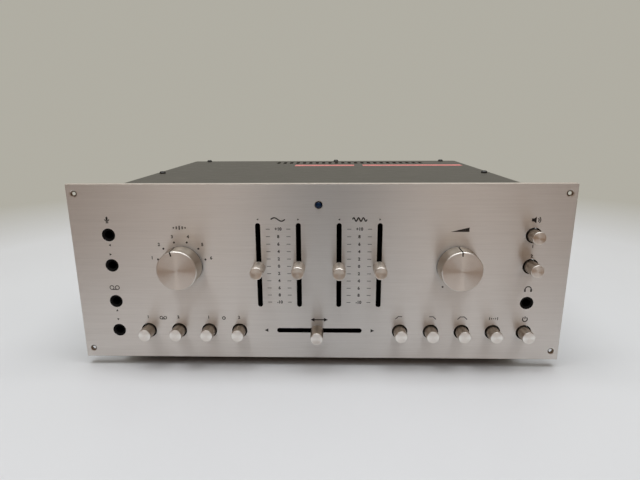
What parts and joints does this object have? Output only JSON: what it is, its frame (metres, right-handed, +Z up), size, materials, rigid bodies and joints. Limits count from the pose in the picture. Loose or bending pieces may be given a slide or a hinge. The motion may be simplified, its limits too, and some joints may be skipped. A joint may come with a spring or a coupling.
{
  "type": "integrated amplifier",
  "caption": "Stereo integrated amplifier: brushed aluminium front with rotary knobs, slide controls, push buttons and jack sockets, on a vented steel chassis with rubber feet.",
  "frame": {"origin": "middle of the part's box, on the surface that the feet stand on", "axes": "+X to the right as seen from the front, +Y from the front panel to the back, +Z up"},
  "size_m": [0.387, 0.3026, 0.1505],
  "materials": {
    "panel_aluminium": "fine horizontal brushing, warm silver",
    "knob_aluminium": "turned, spun face, bright bevel",
    "black_steel": "satin black paint",
    "zinc_steel": "dull zinc plate",
    "cover_paint": "dark grey satin paint",
    "black_plastic": "moulded",
    "switch_plastic": "moulded",
    "blue_jewel": "clear blue, domed",
    "dark_rubber": "moulded",
    "core_steel": "varnished laminations",
    "can_aluminium": "drawn can",
    "black_anodised": "black anodised extrusion",
    "circuit_board": "phenolic paper board",
    "socket_board": "phenolic strip",
    "screw_black": "black oxide"
  },
  "bodies": {
    "chassis": {"front_panel": "panel_aluminium", "sub_panel": "black_steel", "pilot_lens": "blue_jewel", "selector_switch": "switch_plastic", "volume_control": "zinc_steel", "bass_slide_unit": "black_steel", "treble_slide_unit": "black_steel", "balance_slide_unit": "black_steel", "left_switch_bank": "switch_plastic", "right_switch_bank": "switch_plastic", "speaker_switch_bank": "switch_plastic", "microphone_jack_left": "black_plastic", "microphone_jack_right": "black_plastic", "dubbing_out_jack": "black_plastic", "dubbing_in_jack": "black_plastic", "phones_jack": "black_plastic", "chassis_tray": "black_steel", "rear_panel": "zinc_steel", "top_cover": "cover_paint", "cover_screw_1": "screw_black", "cover_screw_2": "screw_black", "cover_screw_3": "screw_black", "cover_screw_4": "screw_black", "cover_screw_5": "screw_black", "foot_front_left": "dark_rubber", "foot_front_right": "dark_rubber", "foot_rear_left": "dark_rubber", "foot_rear_right": "dark_rubber", "power_transformer": "core_steel", "filter_capacitors": "can_aluminium", "heat_sink": "black_anodised", "main_board": "circuit_board", "rca_socket_strip": "socket_board", "speaker_terminals": "black_plastic", "cord_gland": "black_plastic"},
    "selector": {"selector_knob": "knob_aluminium", "selector_shaft": "zinc_steel"},
    "volume": {"volume_knob": "knob_aluminium", "volume_shaft": "zinc_steel"},
    "bass_left": {"bass_left_knob": "knob_aluminium", "bass_left_lever": "black_steel"},
    "bass_right": {"bass_right_knob": "knob_aluminium", "bass_right_lever": "black_steel"},
    "treble_left": {"treble_left_knob": "knob_aluminium", "treble_left_lever": "black_steel"},
    "treble_right": {"treble_right_knob": "knob_aluminium", "treble_right_lever": "black_steel"},
    "balance": {"balance_knob": "knob_aluminium", "balance_lever": "black_steel"},
    "left_button_1": {"left_button_1": "knob_aluminium"},
    "left_button_2": {"left_button_2": "knob_aluminium"},
    "left_button_3": {"left_button_3": "knob_aluminium"},
    "left_button_4": {"left_button_4": "knob_aluminium"},
    "right_button_1": {"right_button_1": "knob_aluminium"},
    "right_button_2": {"right_button_2": "knob_aluminium"},
    "right_button_3": {"right_button_3": "knob_aluminium"},
    "right_button_4": {"right_button_4": "knob_aluminium"},
    "power_button": {"power_button": "knob_aluminium"},
    "speaker_button_1": {"speaker_button_1": "knob_aluminium"},
    "speaker_button_2": {"speaker_button_2": "knob_aluminium"}
  },
  "joints": [
    {"name": "selector_turn", "type": "hinge", "parent": "chassis", "child": "selector", "pos_m": [-0.1081, -0.1345, 0.086], "axis": [0, 1, 0], "range_deg": [-60, 90]},
    {"name": "volume_turn", "type": "hinge", "parent": "chassis", "child": "volume", "pos_m": [0.1081, -0.1345, 0.086], "axis": [0, 1, 0], "range_deg": [-146.5, 153.5]},
    {"name": "bass_left_slide", "type": "slide", "parent": "chassis", "child": "bass_left", "axis": [0, 0, 1], "range_m": [-0.0287, 0.0313]},
    {"name": "bass_right_slide", "type": "slide", "parent": "chassis", "child": "bass_right", "axis": [0, 0, 1], "range_m": [-0.0291, 0.0309]},
    {"name": "treble_left_slide", "type": "slide", "parent": "chassis", "child": "treble_left", "axis": [0, 0, 1], "range_m": [-0.0283, 0.0317]},
    {"name": "treble_right_slide", "type": "slide", "parent": "chassis", "child": "treble_right", "axis": [0, 0, 1], "range_m": [-0.0291, 0.0309]},
    {"name": "balance_slide", "type": "slide", "parent": "chassis", "child": "balance", "axis": [1, 0, 0], "range_m": [-0.0283, 0.0317]},
    {"name": "left_button_1_press", "type": "slide", "parent": "chassis", "child": "left_button_1", "axis": [0, 1, 0], "range_m": [0, 0.004], "stiffness_N_per_m": 400},
    {"name": "left_button_2_press", "type": "slide", "parent": "chassis", "child": "left_button_2", "axis": [0, 1, 0], "range_m": [0, 0.004], "stiffness_N_per_m": 400},
    {"name": "left_button_3_press", "type": "slide", "parent": "chassis", "child": "left_button_3", "axis": [0, 1, 0], "range_m": [0, 0.004], "stiffness_N_per_m": 400},
    {"name": "left_button_4_press", "type": "slide", "parent": "chassis", "child": "left_button_4", "axis": [0, 1, 0], "range_m": [0, 0.004], "stiffness_N_per_m": 400},
    {"name": "right_button_1_press", "type": "slide", "parent": "chassis", "child": "right_button_1", "axis": [0, 1, 0], "range_m": [0, 0.004], "stiffness_N_per_m": 400},
    {"name": "right_button_2_press", "type": "slide", "parent": "chassis", "child": "right_button_2", "axis": [0, 1, 0], "range_m": [0, 0.004], "stiffness_N_per_m": 400},
    {"name": "right_button_3_press", "type": "slide", "parent": "chassis", "child": "right_button_3", "axis": [0, 1, 0], "range_m": [0, 0.004], "stiffness_N_per_m": 400},
    {"name": "right_button_4_press", "type": "slide", "parent": "chassis", "child": "right_button_4", "axis": [0, 1, 0], "range_m": [0, 0.004], "stiffness_N_per_m": 400},
    {"name": "power_press", "type": "slide", "parent": "chassis", "child": "power_button", "axis": [0, 1, 0], "range_m": [0, 0.004], "stiffness_N_per_m": 400},
    {"name": "speaker_button_1_press", "type": "slide", "parent": "chassis", "child": "speaker_button_1", "axis": [0, 1, 0], "range_m": [-0.003, 0.001], "stiffness_N_per_m": 400},
    {"name": "speaker_button_2_press", "type": "slide", "parent": "chassis", "child": "speaker_button_2", "axis": [0, 1, 0], "range_m": [0, 0.004], "stiffness_N_per_m": 400}
  ]
}
